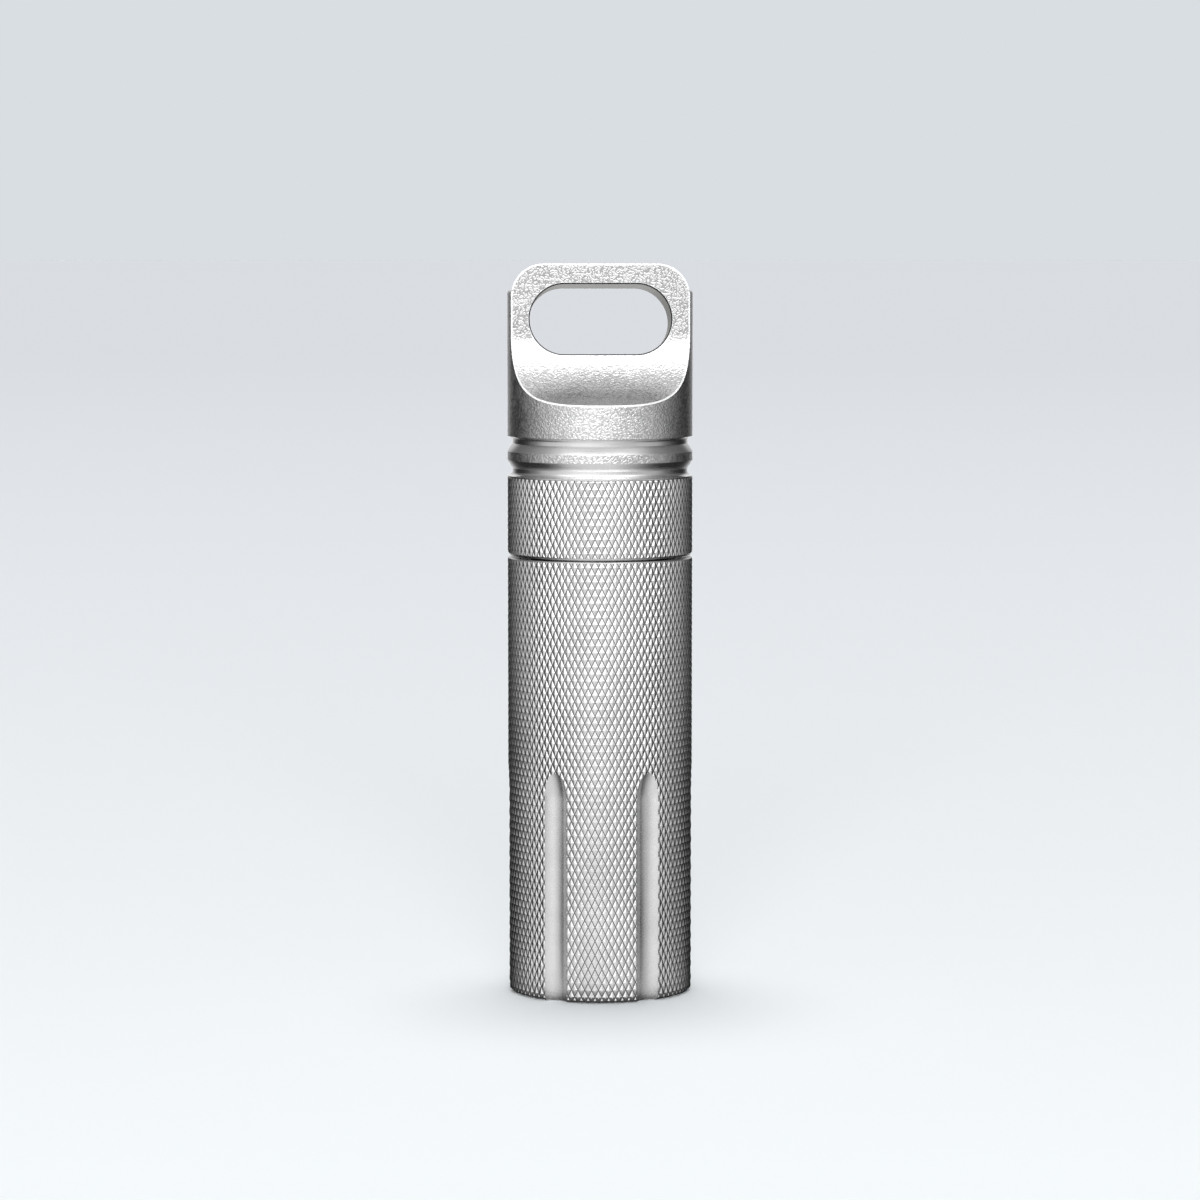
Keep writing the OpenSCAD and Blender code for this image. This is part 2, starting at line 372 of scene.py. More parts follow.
def apply(piece, kind, **settings):
    """Adds a modifier with these settings and applies it."""
    modifier = piece.modifiers.new(kind, kind)
    for name, value in settings.items():
        setattr(modifier, name, value)
    pick(piece)
    bpy.ops.object.modifier_apply(modifier=modifier.name)


def edit(action="SELECT"):
    """Opens the active piece in edit mode with all of it selected, or none."""
    bpy.ops.object.mode_set(mode="EDIT")
    bpy.ops.mesh.select_all(action=action)


def arc(centre_u, centre_v, radius, start, end, steps=12, radius_v=None):
    """Points on part of a circle, or of an ellipse with a second radius; angles in degrees."""
    turns = [math.radians(start + (end - start) * i / steps) for i in range(steps + 1)]
    tall = radius_v or radius
    return [(centre_u + radius * math.cos(turn), centre_v + tall * math.sin(turn)) for turn in turns]


# %% [markdown]
# ## Drawing with a pencil of vertices
# These helpers make a shape as a hand would. `draw` merges a plane into one vertex and extrudes it from
# point to point, as one does with the E key. `turn` spins such an outline about the axis, and
# `extrude_outline` pushes it straight.

# %% Helpers that draw, turn and extrude an outline
def draw(name, points):
    """Draws a chain of points in a new mesh, and leaves it in edit mode."""
    bpy.ops.mesh.primitive_plane_add(size=MM)
    piece = bpy.context.object
    piece.name = name
    bpy.ops.object.mode_set(mode="EDIT")
    bpy.ops.mesh.merge(type="CENTER")
    bpy.ops.transform.translate(value=points[0])
    for here, there in zip(points, points[1:]):
        step = Vector(there) - Vector(here)
        bpy.ops.mesh.extrude_vertices_move(TRANSFORM_OT_translate={"value": step})
    bpy.ops.mesh.select_all(action="SELECT")
    return piece


def close_up():
    """Merges doubled points, points every face outwards and leaves edit mode."""
    bpy.ops.mesh.select_all(action="SELECT")
    bpy.ops.mesh.remove_doubles(threshold=MERGE)
    bpy.ops.mesh.normals_make_consistent(inside=False)
    bpy.ops.object.mode_set(mode="OBJECT")


def turn(name, outline, segments=SEGMENTS):
    """Spins a half section of (radius, height) points into a closed solid of revolution."""
    piece = draw(name, [(radius, 0, height) for radius, height in outline])
    bpy.ops.mesh.spin(steps=segments, angle=2 * math.pi, center=(0, 0, 0), axis=(0, 0, 1))
    close_up()
    return piece


def turn_ring(name, outline, segments=SEGMENTS):
    """Spins an outline that stays clear of the axis, closed back to its first point."""
    return turn(name, outline + outline[:1], segments)


def extrude_outline(name, points, push):
    """Fills a closed outline and pushes it through a thickness."""
    piece = draw(name, points + points[:1])
    bpy.ops.mesh.remove_doubles(threshold=MERGE)
    bpy.ops.mesh.edge_face_add()
    bpy.ops.mesh.extrude_region_move(TRANSFORM_OT_translate={"value": push})
    close_up()
    return piece


def cut(piece, tool, operation="DIFFERENCE"):
    """Cuts a tool out of a piece. The new faces take the tool's finish, and the tool is thrown away."""
    settings = {"operation": operation, "solver": "MANIFOLD", "material_mode": "TRANSFER"}
    apply(piece, "BOOLEAN", object=tool, **settings)
    bpy.data.objects.remove(tool)
    return piece


print("modelling helpers ready")

# %% [markdown]
# ## A knurling tool
# A diamond knurl is two families of V grooves that cross. A knurl this coarse shows on the outline and
# catches light facet by facet, so it is real geometry and not a bump texture. One diamond is modelled by
# hand as a flat rhombus whose top is raised by an inset, and arrays repeat it into a sheet.

# %% One diamond, and rows of it
DIAMONDS_ROUND = 84
DIAMOND_W = 2 * math.pi * bar_r / DIAMONDS_ROUND
DIAMOND_H = 1.89 * MM
KNURL_FLANK = 0.33 * MM
TOOL_R = bar_r + 1.5 * MM


def one_diamond(name):
    """One diamond and its neighbour half a step up: crests at y = 0, roots a knurl's depth behind."""
    bpy.ops.mesh.primitive_circle_add(vertices=4, radius=1, fill_type="NGON")
    piece = bpy.context.object
    piece.name = name
    edit()
    bpy.ops.transform.rotate(value=math.pi / 2, orient_axis="X", center_override=(0, 0, 0))
    bpy.ops.transform.resize(value=(DIAMOND_W / 2, 1, DIAMOND_H / 2), center_override=(0, 0, 0))
    bpy.ops.mesh.inset(thickness=KNURL_FLANK, depth=-KNURL_DEPTH, use_even_offset=True)
    bpy.ops.mesh.select_all(action="SELECT")
    bpy.ops.transform.translate(value=(0, KNURL_DEPTH, 0))
    step = (DIAMOND_W / 2, 0, DIAMOND_H / 2)
    bpy.ops.mesh.duplicate_move(TRANSFORM_OT_translate={"value": step})
    bpy.ops.object.mode_set(mode="OBJECT")
    return piece


def repeat(piece, count, step):
    """Repeats a piece in a straight row and joins the neighbours' shared corners."""
    offset = {"use_constant_offset": True, "constant_offset_displace": step}
    merge = {"use_merge_vertices": True, "merge_threshold": MERGE}
    apply(piece, "ARRAY", count=count, use_relative_offset=False, **offset, **merge)


print(f"{DIAMONDS_ROUND} diamonds round, each {DIAMOND_W / MM:.3f} x {DIAMOND_H / MM:.2f} mm")

# %% [markdown]
# ## From the sheet to a tool
# Simple Deform rolls the sheet up, and its two ends overlap by half a diamond. Then its open rims are
# extruded outwards and joined, which makes a ring whose inner wall is the knurl. Cutting this ring from a
# smooth bar leaves the diamonds standing, just as the rolling wheels do.

# %% Roll the sheet up and close it into a ring
KNURL_TRIM = MM


def knurl_tool(name, low, high):
    """A ring between two heights whose inner wall is the knurl."""
    piece = one_diamond(name)
    rows = math.ceil((high - low) / DIAMOND_H) + 2
    repeat(piece, rows, (0, 0, DIAMOND_H))
    repeat(piece, DIAMONDS_ROUND, (DIAMOND_W, 0, 0))
    roll = 2 * math.pi * (DIAMONDS_ROUND + 0.5) / DIAMONDS_ROUND
    apply(piece, "SIMPLE_DEFORM", deform_method="BEND", deform_axis="Z", angle=roll)
    edit()
    bpy.ops.mesh.remove_doubles(threshold=MERGE)
    bpy.ops.transform.translate(value=(0, -bar_r, low - DIAMOND_H / 2))
    bpy.ops.mesh.select_all(action="DESELECT")
    bpy.ops.mesh.select_mode(type="EDGE")
    bpy.ops.mesh.select_non_manifold(use_wire=False, use_multi_face=False, use_non_contiguous=False)
    widen = TOOL_R / (bar_r - KNURL_DEPTH)
    bpy.ops.mesh.extrude_edges_move()
    bpy.ops.transform.resize(value=(widen, widen, 1), center_override=(0, 0, 0))
    bpy.ops.mesh.bridge_edge_loops()
    bpy.ops.mesh.select_mode(type="VERT")
    close_up()
    give(piece, knurled)
    inner, outer = bar_r - KNURL_TRIM, bar_r + KNURL_TRIM
    trim = turn_ring("trim", [(inner, low), (outer, low), (outer, high), (inner, high)], DIAMONDS_ROUND)
    return cut(piece, give(trim, knurled), "INTERSECT")


print(f"knurling tool out to a radius of {TOOL_R / MM:.2f} mm")

# %% [markdown]
# ## A thread
# A screw thread is one profile wound up the axis. The Screw modifier winds it at 1.5 mm a turn, and the
# result is a tool: cut out of the neck it leaves the outer thread, and cut out of the cap the inner one.

# %% Wind a thread cutter
PITCH = 1.5 * MM
THREAD_STEPS = 96
THREAD_TURNS = 5
GROOVE_ROOT_W = 0.34 * MM
GROOVE_MOUTH_W = 1.1 * MM
OUTSIDE = 0.25 * MM


def thread_tool(name, root_r, crest_r, low):
    """Winds the groove between two radii up the axis; low is its height at angle 0."""
    past_r = crest_r + math.copysign(OUTSIDE, crest_r - root_r)
    flank = (GROOVE_MOUTH_W - GROOVE_ROOT_W) / 2 / abs(crest_r - root_r)
    past_half = GROOVE_MOUTH_W / 2 + flank * OUTSIDE
    root_half = GROOVE_ROOT_W / 2
    profile = [(root_r, -root_half), (past_r, -past_half), (past_r, past_half), (root_r, root_half)]
    piece = draw(name, [(radius, 0, low + height) for radius, height in profile + profile[:1]])
    bpy.ops.mesh.remove_doubles(threshold=MERGE)
    bpy.ops.object.mode_set(mode="OBJECT")
    winding = {"axis": "Z", "angle": 2 * math.pi, "screw_offset": PITCH, "iterations": THREAD_TURNS}
    apply(piece, "SCREW", steps=THREAD_STEPS, render_steps=THREAD_STEPS, **winding)
    edit()
    bpy.ops.mesh.remove_doubles(threshold=MERGE)
    bpy.ops.mesh.fill_holes(sides=len(profile))
    close_up()
    return give(piece, turned)


print(f"thread cutter with {THREAD_TURNS} turns at a pitch of {PITCH / MM:.1f} mm")

# %% [markdown]
# ## The body: turn the blank
# The body starts as the lathe leaves it: one half section, from the middle of the base up the wall, over
# the shoulder, up the neck and down the bore. Spinning it gives a closed solid at once, which later cuts
# need. The wall stands 0.1 mm proud, because the knurling tool takes it down to size.

# %% Half section of the body
PROUD = 0.1 * MM
BASE_CHAMFER = 0.5 * MM
SHOULDER_BEVEL = 0.25 * MM
BORE_R = 8.5 * MM
FLOOR_T = 3 * MM
FLOOR_FILLET = 1 * MM
RING_GROOVE_R = 9.4 * MM
RING_GROOVE_TOP = shoulder + 2 * MM
LAND_R = 10.7 * MM
LAND_TOP = RING_GROOVE_TOP + 1.2 * MM
RELIEF_R = 9.5 * MM
RELIEF_TOP = LAND_TOP + 0.8 * MM
NECK_CREST_R = 10.44 * MM
NECK_ROOT_R = 9.6 * MM
EDGE_BREAK = 0.12 * MM

crest_step = NECK_CREST_R - RELIEF_R
body_section = [
    (0, 0),
    (bar_r - BASE_CHAMFER, 0),
    (bar_r + PROUD, BASE_CHAMFER + PROUD),
    (bar_r + PROUD, shoulder - SHOULDER_BEVEL - PROUD),
    (bar_r - SHOULDER_BEVEL, shoulder),
    (RING_GROOVE_R, shoulder),
    (RING_GROOVE_R, RING_GROOVE_TOP),
    (LAND_R - EDGE_BREAK, RING_GROOVE_TOP),
    (LAND_R, RING_GROOVE_TOP + EDGE_BREAK),
    (LAND_R, LAND_TOP - EDGE_BREAK),
    (LAND_R - EDGE_BREAK, LAND_TOP),
    (RELIEF_R, LAND_TOP),
    (RELIEF_R, RELIEF_TOP),
    (NECK_CREST_R, RELIEF_TOP + crest_step),
    (NECK_CREST_R, neck_top - crest_step),
    (RELIEF_R, neck_top),
    (BORE_R + EDGE_BREAK, neck_top),
    (BORE_R, neck_top - EDGE_BREAK),
]
body_section += arc(BORE_R - FLOOR_FILLET, FLOOR_T + FLOOR_FILLET, FLOOR_FILLET, 0, -90)
body_section += [(0, FLOOR_T)]
body = give(turn("tube_body", body_section), turned)
tell(body)

# %% [markdown]
# ## The body: knurl the wall
# The knurl is rolled over the whole wall first, and the flutes and the thread come after it, as on the
# real tube. So the flutes cut clean edges through the diamonds.

# %% Knurl the wall
cut(body, knurl_tool("body_knurl_tool", -MM, shoulder + MM))
tell(body)

# %% [markdown]
# ## The flutes
# The six flutes give fingers a hold. A round cutter runs up each one and its wheel lifts out at the
# end, so the tip narrows to a rounded point. The tool is drawn the same way: a disc pushed straight up
# and then spun about the wheel's axis. The photograph gives the flute's width, tip and run-out, and the
# radii of cutter and wheel follow from them.

# %% Mill the flutes
FLUTES = 6
FLUTE_W = 3.5 * MM
FLUTE_DEPTH = 1 * MM
FLUTE_TOP = 31 * MM
FLUTE_RUNOUT = 3.7 * MM
CUTTER_SIDES = 96
WHEEL_STEPS = 48
WHEEL_SWEEP = math.radians(80)

flute_dip = FLUTE_DEPTH - (bar_r - math.sqrt(bar_r**2 - (FLUTE_W / 2) ** 2))
flute_cut_r = ((FLUTE_W / 2) ** 2 + flute_dip**2) / (2 * flute_dip)
flute_wheel_r = (FLUTE_RUNOUT**2 + FLUTE_DEPTH**2) / (2 * FLUTE_DEPTH)
flute_floor_r = bar_r - FLUTE_DEPTH


def flute_tool(turn_about):
    """A round cutter that runs up one flute and lifts out on the arc of its wheel."""
    bpy.ops.mesh.primitive_circle_add(
        vertices=CUTTER_SIDES,
        radius=flute_cut_r,
        fill_type="NGON",
        location=(flute_floor_r + flute_cut_r, 0, -MM),
    )
    piece = bpy.context.object
    piece.name = "flute_tool"
    bpy.ops.object.transform_apply(location=True)
    edit()
    straight = (0, 0, FLUTE_TOP - FLUTE_RUNOUT + MM)
    bpy.ops.mesh.extrude_region_move(TRANSFORM_OT_translate={"value": straight})
    wheel = (flute_floor_r + flute_wheel_r, 0, FLUTE_TOP - FLUTE_RUNOUT)
    bpy.ops.mesh.spin(steps=WHEEL_STEPS, angle=WHEEL_SWEEP, center=wheel, axis=(0, -1, 0))
    bpy.ops.mesh.select_all(action="SELECT")
    bpy.ops.transform.rotate(value=turn_about, orient_axis="Z", center_override=(0, 0, 0))
    close_up()
    return give(piece, flute_blasted)


for number in range(FLUTES):
    cut(body, flute_tool(number * 2 * math.pi / FLUTES))
tell(body)

# %% [markdown]
# ## The outer thread
# The groove is wider at its mouth than at its root, so the thread that stays has sloping flanks. The
# outline reaches past the crest, because a cutter whose face lies exactly on the wall would leave
# slivers.

# %% Cut the outer thread
thread_low = RELIEF_TOP + 0.1 * MM
cut(body, thread_tool("outer_thread_tool", NECK_ROOT_R, NECK_CREST_R, thread_low))
tell(body)

# %% [markdown]
# ## The cap: turn the blank
# The cap is one section too. Its two grooves have a rounded upper or lower flank and a straight bevel on
# the side of the ring between them, so each is an elliptical arc and a line. A shallow cut ends the knurl
# just below the lower groove.

# %% Half section of the cap
SKIRT_CHAMFER = 0.25 * MM
SKIRT_CHAMFER_H = 0.4 * MM
BAND_H = 10.7 * MM
GROOVE_DEPTH = 0.7 * MM
COVE_H = 0.65 * MM
GROOVE_FLOOR_H = 0.35 * MM
GROOVE_BEVEL_H = 0.95 * MM
GROOVE_RING_H = 1.45 * MM
CORNER_BLEND = 0.15 * MM
KNURL_END = 0.3 * MM
KNURL_STOP = 0.21 * MM
END_CUT_LOW = 0.198 * MM
END_CUT_HIGH = 0.12 * MM
END_CUT_DEPTH = 0.16 * MM

groove_floor_r = bar_r - GROOVE_DEPTH
band_top = cap_bottom + BAND_H
low_floor = band_top + COVE_H
low_bevel = low_floor + GROOVE_FLOOR_H
ring_foot = low_bevel + GROOVE_BEVEL_H
ring_head = ring_foot + GROOVE_RING_H
high_floor = ring_head + GROOVE_BEVEL_H
high_cove = high_floor + GROOVE_FLOOR_H
head_foot = high_cove + COVE_H
chamfer_rise = PROUD * SKIRT_CHAMFER_H / SKIRT_CHAMFER

cap_section = [
    (bar_r - SKIRT_CHAMFER, cap_bottom),
    (bar_r + PROUD, cap_bottom + SKIRT_CHAMFER_H + chamfer_rise),
    (bar_r + PROUD, band_top - KNURL_END),
    (bar_r - END_CUT_DEPTH, band_top - END_CUT_LOW),
    (bar_r, band_top - END_CUT_HIGH),
    (bar_r, band_top),
]
cap_section += arc(bar_r, low_floor, GROOVE_DEPTH, 270, 180, radius_v=COVE_H)
cap_section += [
    (groove_floor_r, low_bevel),
    (bar_r - CORNER_BLEND, ring_foot - CORNER_BLEND),
    (bar_r, ring_foot + CORNER_BLEND),
    (bar_r, ring_head - CORNER_BLEND),
    (bar_r - CORNER_BLEND, ring_head + CORNER_BLEND),
    (groove_floor_r, high_floor),
]
cap_section += arc(bar_r, high_cove, GROOVE_DEPTH, 180, 90, radius_v=COVE_H)
cap_section += [(bar_r, cap_top), (0, cap_top)]
print(f"{len(cap_section)} points on the cap's outside")

# %% [markdown]
# ## The inside of the cap
# Nobody sees this side until the cap comes off. The mouth is a plain bore that slides over the ring on
# the neck, and the thread follows. The pocket holds the gasket, and the recess above it saves weight. It
# belongs to the same section as the outside, so one spin makes both.

# %% The inside of the cap
MOUTH_R = 11.05 * MM
MOUTH_TOP = LAND_TOP + 0.5 * MM
CAP_CREST_R = 9.74 * MM
CAP_ROOT_R = 10.56 * MM
POCKET_R = 10.57 * MM
RECESS_H = 5.3 * MM
RECESS_FILLET = 1 * MM

pocket_bottom = gasket_low.z - 0.8 * MM
pocket_top = gasket_high.z + 0.05 * MM
recess_top = pocket_top + RECESS_H
cap_section += [(0, recess_top)]
cap_section += arc(BORE_R - RECESS_FILLET, recess_top - RECESS_FILLET, RECESS_FILLET, 90, 0)
cap_section += [
    (BORE_R, pocket_top),
    (POCKET_R, pocket_top),
    (POCKET_R, pocket_bottom),
    (CAP_CREST_R, pocket_bottom - (POCKET_R - CAP_CREST_R)),
    (CAP_CREST_R, MOUTH_TOP + (MOUTH_R - CAP_CREST_R)),
    (MOUTH_R, MOUTH_TOP),
    (MOUTH_R, cap_bottom + EDGE_BREAK),
    (MOUTH_R + EDGE_BREAK, cap_bottom),
]
cap = turn_ring("screw_cap_head", cap_section)
tell(cap)

# %% [markdown]
# ## The cap: finishes by place
# A Boolean cut brings its own finish, but the turned blank is one mesh that needs several. Its faces are
# told apart by where they are: the head and the ring between the grooves are blasted, the grooves are
# bright from the tool, and the inside is plain turned metal.


# %% Give faces their finish by place
def finish_faces(piece, finish, belongs):
    """Gives one finish to the faces whose centre and normal pass a test."""
    if finish.name not in piece.data.materials:
        piece.data.materials.append(finish)
    index = piece.data.materials.find(finish.name)
    chosen = [face for face in piece.data.polygons if belongs(face.center, face.normal)]
    for face in chosen:
        face.material_index = index
    print(f"{piece.name}: {len(chosen)} faces in {finish.name}")


def radius_of(point):
    """A point's distance from the axis."""
    return math.hypot(point.x, point.y)


give(cap, turned)
skin_r = bar_r - 0.01 * MM
inner_r = groove_floor_r - 0.1 * MM
finish_faces(cap, groove_turned, lambda c, n: radius_of(c) > inner_r and c.z > band_top - KNURL_END)
finish_faces(cap, blasted, lambda c, n: radius_of(c) > skin_r and ring_foot < c.z < ring_head)
finish_faces(cap, blasted, lambda c, n: radius_of(c) > skin_r and c.z > head_foot)

# %% [markdown]
# ## The cap: knurl and scoops
# The knurl is cut first, while the wall is still round. Then the head is milled from two sides, each time
# along a quarter of a cylinder that lies across the cap, which leaves a flat loop on a round foot. The
# outline of a scoop, a quarter circle between the loop's face and the level floor, is pushed across the
# cap. It is fine, because the blasted curve shows every facet.

# %% Mill the two scoops
LOOP_FACE = 3.5 * MM
SCOOP_R = 9.5 * MM
SCOOP_DROP = 18.7 * MM
SCOOP_STEPS = 72
LOOP_FINISH_DROP = 1.3 * MM

scoop_floor = cap_top - SCOOP_DROP
scoop_y = LOOP_FACE + SCOOP_R
scoop_z = scoop_floor + SCOOP_R
far = 2 * bar_r

cut(cap, knurl_tool("cap_knurl_tool", cap_bottom - MM, band_top - KNURL_STOP))

scoop_outline = arc(scoop_y, scoop_z, SCOOP_R, 180, 270, SCOOP_STEPS)
scoop_outline += [(far, scoop_floor), (far, cap_top + MM), (LOOP_FACE, cap_top + MM)]
for side in (-1, 1):
    points = [(-far, side * y, z) for y, z in scoop_outline]
    cut(cap, give(extrude_outline("scoop_tool", points, (2 * far, 0, 0)), scoop_blasted_painted_highlight))
loop_low = scoop_z - LOOP_FINISH_DROP
finish_faces(cap, loop_blasted_painted_shade, lambda c, n: abs(n.y) > 0.98 and c.z > loop_low)
tell(cap)

# %% [markdown]
# ## The cap: corners and ledges
# The loop's two top corners are rounded, and the rounding stops at a small ledge on each side where the
# bar's round wall begins. The ledge's outer edge is turned to a radius.

# %% Round the corners
CORNER_R = 4.4 * MM
LEDGE_DROP = 3.5 * MM
LEDGE_R = 0.5 * MM
CORNER_STEPS = 36

loop_half_w = math.sqrt(bar_r**2 - LOOP_FACE**2)
ledge_z = cap_top - LEDGE_DROP
corner_x = loop_half_w - CORNER_R
corner_z = cap_top - CORNER_R
corner_foot = math.degrees(math.asin((ledge_z - corner_z) / CORNER_R))

ledge_turn = arc(bar_r - LEDGE_R, ledge_z - LEDGE_R, LEDGE_R, 0, 90)
ledge_outline = ledge_turn + [(bar_r + MM, ledge_z), (bar_r + MM, ledge_z - LEDGE_R)]
cut(cap, give(turn_ring("ledge_tool", ledge_outline), blasted))

corner_outline = arc(corner_x, corner_z, CORNER_R, corner_foot, 90, CORNER_STEPS)
corner_outline += [(corner_x, cap_top + MM), (bar_r + MM, cap_top + MM), (bar_r + MM, ledge_z)]
for side in (-1, 1):
    points = [(side * x, bar_r, z) for x, z in corner_outline]
    cut(cap, give(extrude_outline("corner_tool", points, (0, -2 * bar_r, 0)), blasted))
tell(cap)

# %% [markdown]
# ## The cap: the slot
# An end mill makes the slot in one pass, so its ends are half circles as wide as the tool. The outline is
# drawn in front of the loop and extruded through it, as the mill goes. The photograph shows a little of
# the inner wall above and at the right, so the path leans by a few degrees.

# %% Mill the slot
SLOT_W = 19 * MM
SLOT_H = 9.4 * MM
SLOT_ROOF = 2.7 * MM
SLOT_LEAN_X = -0.25 * MM
SLOT_LEAN_Z = -0.7 * MM
SLOT_STEPS = 64

slot_r = SLOT_H / 2
slot_z = cap_top - SLOT_ROOF - slot_r
slot_run = SLOT_W / 2 - slot_r
slot_outline = arc(slot_run, slot_z, slot_r, -90, 90, SLOT_STEPS)
slot_outline += arc(-slot_run, slot_z, slot_r, 90, 270, SLOT_STEPS)
slot_lean = Vector((SLOT_LEAN_X, 2 * LOOP_FACE, SLOT_LEAN_Z)) / (2 * LOOP_FACE)
slot_points = [Vector((x, -LOOP_FACE, z)) - slot_lean * MM for x, z in slot_outline]
slot_push = slot_lean * (2 * LOOP_FACE + 2 * MM)
cut(cap, give(extrude_outline("slot_tool", slot_points, slot_push), slot_milled_painted_shade))
tell(cap)

# %% [markdown]
# ## The cap: bright chamfers
# A thin bright line follows every edge of the loop, because those edges are cut after the blasting, and it
# is partly a painted highlight.
# Blender's bevel can't make them: where the scoop meets the round wall the edge crosses hundreds of small
# facets. So each chamfer is cut with a rail, a small bar swept along the edge. At each station the two
# surfaces that meet are known by their normals, and the bar lies square to the line that halves them. No
# operator places such a section, so this one shape is built point by point.

# %% A rail that cuts a chamfer along an edge
FACE_WIDTH = 0.21 * MM
WALL_WIDTH = 0.065 * MM
LIP_SCOOP_WIDTH = 0.11 * MM
LIP_WALL_WIDTH = 0.23 * MM
MOUTH_SHADE_FACE_WIDTH = 0.17 * MM
MOUTH_SHADE_WALL_WIDTH = 0.25 * MM
RAIL_OVERLAP = 0.12 * MM
RAIL_HEIGHT = 0.6 * MM


def rail_section(point, normal_a, normal_b, width_a, width_b):
    """Four corners of the rail at a station on an edge, where surfaces a and b meet."""
    along = normal_a.cross(normal_b).normalized()
    inward_a = normal_a.cross(along)
    inward_b = along.cross(normal_b)
    start = point + inward_a * width_a
    end = point + inward_b * width_b
    reach = (end - start).normalized() * RAIL_OVERLAP
    lift = (end - start).cross(along).normalized() * RAIL_HEIGHT
    if lift.dot(normal_a + normal_b) < 0:
        lift.negate()
    return [start - reach, end + reach, end + reach + lift, start - reach + lift]


def rail_tool(stations, closed, finish=None):
    """Sweeps the rail through its stations, each (point, normal, normal, width, width)."""
    corners = [corner for station in stations for corner in rail_section(*station)]
    count = len(stations)
    faces = []
    for i in range(count if closed else count - 1):
        here, there = 4 * i, 4 * ((i + 1) % count)
        for k in range(4):
            faces.append((here + k, here + (k + 1) % 4, there + (k + 1) % 4, there + k))
    if not closed:
        faces += [(3, 2, 1, 0), tuple(range(4 * count - 4, 4 * count))]
    mesh = bpy.data.meshes.new("rail_tool")
    mesh.from_pydata(corners, [], faces)
    piece = put("rail_tool", mesh)
    pick(piece)
    bpy.ops.object.mode_set(mode="EDIT")
    close_up()
    return give(piece, finish or bright_edge_and_highlight)


print(f"rails for chamfers of {WALL_WIDTH / MM:.3f} to {FACE_WIDTH / MM:.2f} mm")

# %% [markdown]
# ## The cap: chamfers on the scoops
# The edge of a scoop is where a cylinder that lies across the cap meets the round wall. Its points and
# both normals can be written down, so the rail's stations are computed. The chamfer grows wider towards
# the lip at the front, as it does in the photograph.

# %% Chamfer the edges of the scoops
RAIL_STEPS = 60
scoop_reach = math.acos((scoop_y - bar_r) / SCOOP_R)


def scoop_station(side, share, half):
    """A station on the scoop's edge: share 0 is at the loop's face, 1 at the front of the lip."""
    sweep = scoop_reach * math.sin(share * math.pi / 2)
    y = min(scoop_y - SCOOP_R * math.cos(sweep), bar_r)
    z = scoop_z - SCOOP_R * math.sin(sweep)
    x = half * math.sqrt(bar_r**2 - y**2)
    wall = Vector((x, side * y, 0)).normalized()
    scoop = Vector((0, side * math.cos(sweep), math.sin(sweep)))
    tip = (1 - math.cos(math.pi * share)) / 2
    wall_width = WALL_WIDTH + (LIP_WALL_WIDTH - WALL_WIDTH) * tip
    scoop_width = FACE_WIDTH + (LIP_SCOOP_WIDTH - FACE_WIDTH) * tip
    return Vector((x, side * y, z)), wall, scoop, wall_width, scoop_width


def scoop_edge(side):
    """Stations from the ledge down one side of the loop, round the lip and up the other side."""
    down = [scoop_station(side, i / RAIL_STEPS, -1) for i in range(RAIL_STEPS)]
    up = [scoop_station(side, i / RAIL_STEPS, 1) for i in reversed(range(RAIL_STEPS + 1))]
    rise = Vector((0, 0, ledge_z + FACE_WIDTH - scoop_z))
    first, last = [(station[0] + rise, *station[1:]) for station in (down[0], up[-1])]
    return [first] + down + up + [last]


for side in (-1, 1):
    cut(cap, rail_tool(scoop_edge(side), closed=False))
tell(cap)

# %% [markdown]
# ## The cap: chamfers on the loop
# The flat faces of the loop have two more edges each: the outline and the mouth of the slot. Both are made
# of straight runs and arcs, so a station needs only a place and a direction. A second, darker rail in the
# slot's mouth is painted shade: a thin dark line along the mouth.

# %% Chamfer the outline of the loop and the mouths of the slot
CORNER_STATIONS = 32
RUN_ON = 2
rail_foot = corner_foot - RUN_ON


def round_edge(centre_x, centre_z, radius, start, end, steps, side, outward):
    """Stations round an arc of the face; outward is 1 on the loop's outline and -1 in the slot."""
    stations = []
    for x, z in arc(0, 0, 1, start, end, steps):
        point = Vector((centre_x + radius * x, side * LOOP_FACE, centre_z + radius * z))
        wall = Vector((outward * x, 0, outward * z))
        stations.append((point, wall, Vector((0, side, 0)), WALL_WIDTH, FACE_WIDTH))
    return stations


for side in (-1, 1):
    outline_edge = round_edge(corner_x, corner_z, CORNER_R, rail_foot, 90, CORNER_STATIONS, side, 1)
    outline_edge += round_edge(-corner_x, corner_z, CORNER_R, 90, 180 - rail_foot, CORNER_STATIONS, side, 1)
    cut(cap, rail_tool(outline_edge, closed=False))
    lean_x, lean_z = (SLOT_LEAN_X, SLOT_LEAN_Z) if side > 0 else (0, 0)
    mouth_z = slot_z + lean_z
    slot_edge = round_edge(slot_run + lean_x, mouth_z, slot_r, -90, 90, SLOT_STEPS, side, -1)
    slot_edge += round_edge(-slot_run + lean_x, mouth_z, slot_r, 90, 270, SLOT_STEPS, side, -1)
    cut(cap, rail_tool(slot_edge, closed=True))
    # A second, wider rail in near-black: painted shade along the slot's mouth.
    mouth_shade_stations = [(*station[:3], MOUTH_SHADE_WALL_WIDTH, MOUTH_SHADE_FACE_WIDTH) for station in slot_edge]
    cut(cap, rail_tool(mouth_shade_stations, closed=True, finish=slot_mouth_shade))
tell(cap)

# %% [markdown]
# ## The cap: the inner thread
# The same winding tool cuts the inner thread, with crest and root exchanged and the start moved by half a
# pitch. The ridges of one thread then stand in the grooves of the other when the cap is closed.

# %% Cut the inner thread
cut(cap, thread_tool("inner_thread_tool", CAP_ROOT_R, CAP_CREST_R, thread_low - PITCH / 2))
tell(cap)

